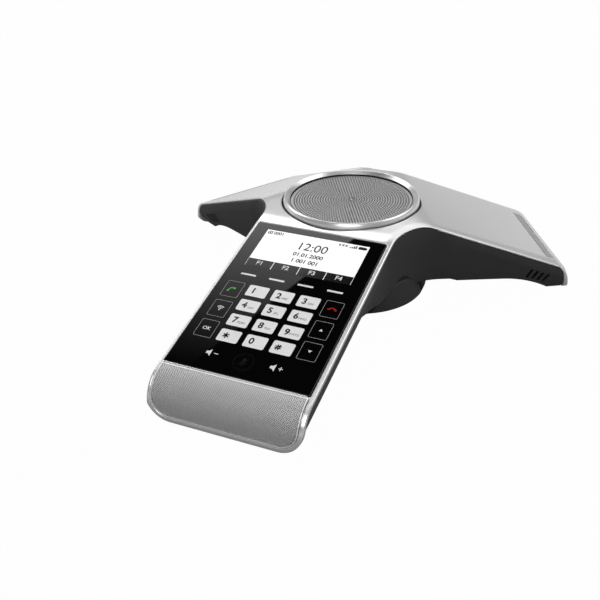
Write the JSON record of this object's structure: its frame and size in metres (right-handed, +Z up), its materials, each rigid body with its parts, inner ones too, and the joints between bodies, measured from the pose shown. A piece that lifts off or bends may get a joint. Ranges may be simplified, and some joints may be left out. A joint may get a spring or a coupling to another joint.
{
  "type": "conference telephone",
  "caption": "Cordless conference telephone: round loudspeaker hub on a pedestal, broad sloping arms, a glass panel with display and touch keypad, microphones and status lights.",
  "frame": {"origin": "on the table, under the middle of the outline seen from above", "axes": "+Z up; -Y towards the person at the keypad, so the keypad arm points along -Y; +X to that person's right"},
  "size_m": [0.2971, 0.2998, 0.0649],
  "materials": {
    "silver_paint": "satin metallic paint on moulded plastic",
    "charcoal_plastic": "fine matt grain",
    "satin_ring": "satin, turned",
    "grille_metal": "grey paint on perforated sheet",
    "mesh_metal": "silver paint on finely perforated sheet",
    "dark_cloth": "thin acoustic cloth",
    "black_glass": "polished, printed black on its back",
    "screen_face": "lit display behind a clear window",
    "key_white": "translucent white",
    "circuit_board": "green solder mask",
    "light_lens": "smoked translucent lens, unlit",
    "dark_rubber": "soft, matt",
    "cone_paper": "coated paper",
    "spider_cloth": "varnished woven cloth",
    "coil_metal": "enamelled winding on a thin former",
    "plated_steel": "zinc plated",
    "ferrite": "dull dark grey",
    "capsule_metal": "plain",
    "pack_foil": "foil pouch in a dark film"
  },
  "bodies": {
    "phone": {"top_shell": "silver_paint", "bottom_shell": "charcoal_plastic", "base_plate": "charcoal_plastic", "battery_tray": "charcoal_plastic", "speaker_ring": "satin_ring", "speaker_grille": "grille_metal", "front_mesh": "mesh_metal", "grille_cloth": "dark_cloth", "panel_glass": "black_glass", "display_module": "screen_face", "key_light_guide": "key_white", "panel_board": "circuit_board", "left_light_board": "circuit_board", "right_light_board": "circuit_board", "main_board": "circuit_board", "left_light_bar": "light_lens", "right_light_bar": "light_lens", "speaker_gasket": "dark_rubber", "speaker_surround": "dark_rubber", "foot_ring": "dark_rubber", "front_foot": "dark_rubber", "left_foot": "dark_rubber", "right_foot": "dark_rubber", "left_mic_boot": "dark_rubber", "right_mic_boot": "dark_rubber", "front_mic_boot": "dark_rubber", "speaker_spider": "spider_cloth", "speaker_basket": "plated_steel", "pole_plate": "plated_steel", "speaker_yoke": "plated_steel", "shield_can": "plated_steel", "radio_module": "plated_steel", "charge_socket": "plated_steel", "base_screw_1": "plated_steel", "base_screw_2": "plated_steel", "base_screw_3": "plated_steel", "base_screw_4": "plated_steel", "speaker_magnet": "ferrite", "left_microphone": "capsule_metal", "right_microphone": "capsule_metal", "front_microphone": "capsule_metal", "battery_pack": "pack_foil"},
    "cone": {"speaker_cone": "cone_paper", "dust_cap": "cone_paper", "voice_coil": "coil_metal"},
    "battery_door": {"battery_cover": "charcoal_plastic"}
  },
  "joints": [
    {"name": "cone_travel", "type": "slide", "parent": "phone", "child": "cone", "axis": [0, 0, 1], "range_m": [-0.0012, 0.0012], "stiffness_N_per_m": 1500, "deforming": ["speaker_surround", "speaker_spider"]},
    {"name": "battery_cover_lift", "type": "slide", "parent": "phone", "child": "battery_door", "axis": [0, 0, -1], "range_m": [0, 0.03]}
  ]
}
